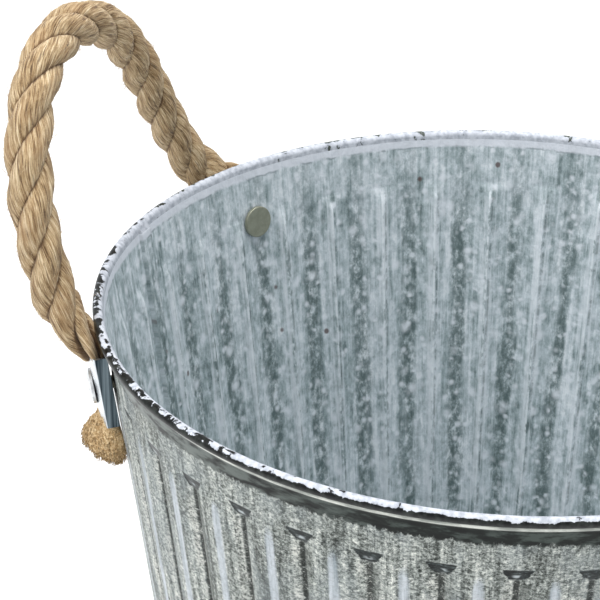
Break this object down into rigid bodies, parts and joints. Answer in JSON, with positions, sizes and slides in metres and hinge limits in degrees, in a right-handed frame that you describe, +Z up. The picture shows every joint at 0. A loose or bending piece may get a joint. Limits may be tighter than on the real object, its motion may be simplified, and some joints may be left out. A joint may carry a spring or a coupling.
{
  "type": "florist bucket",
  "caption": "Round tapered bucket of fluted zinc sheet with a wired rim and a jute rope handle clipped and riveted at each side, for cut flowers or plants.",
  "frame": {"origin": "centre of the ring that the bucket stands on", "axes": "+Z up, out of the mouth; the rope handles are at -X (left) and +X (right); -Y is the front"},
  "size_m": [0.2804, 0.2532, 0.2922],
  "materials": {
    "zinc_wall": "whitewashed zinc sheet, worn to dark metal on the rim, spangled outside",
    "rim_wire_steel": "plain drawn wire",
    "zinc_base": "dull zinc sheet",
    "zinc_clip": "bright zinc plate",
    "rivet_steel": "dull olive-grey plated steel",
    "jute_rope": "three-strand twisted jute, hairy"
  },
  "bodies": {
    "bucket": {"bucket_wall": "zinc_wall", "rim_wire": "rim_wire_steel", "base_plate": "zinc_base", "left_front_clip": "zinc_clip", "left_front_rivet": "rivet_steel", "left_front_rope_end": "jute_rope", "left_rear_clip": "zinc_clip", "left_rear_rivet": "rivet_steel", "left_rear_rope_end": "jute_rope", "right_front_clip": "zinc_clip", "right_front_rivet": "rivet_steel", "right_front_rope_end": "jute_rope", "right_rear_clip": "zinc_clip", "right_rear_rivet": "rivet_steel", "right_rear_rope_end": "jute_rope"},
    "left_handle": {"left_rope_loop": "jute_rope"},
    "right_handle": {"right_rope_loop": "jute_rope"}
  },
  "joints": [
    {"name": "left_handle_swing", "type": "hinge", "parent": "bucket", "child": "left_handle", "pos_m": [-0.12095, -0.0072, 0.2144], "axis": [-0.0485, 0.9988, 0], "range_deg": [-70, 75]},
    {"name": "right_handle_swing", "type": "hinge", "parent": "bucket", "child": "right_handle", "pos_m": [0.12095, 0.0072, 0.2144], "axis": [0.0485, -0.9988, 0], "range_deg": [-70, 75]}
  ]
}
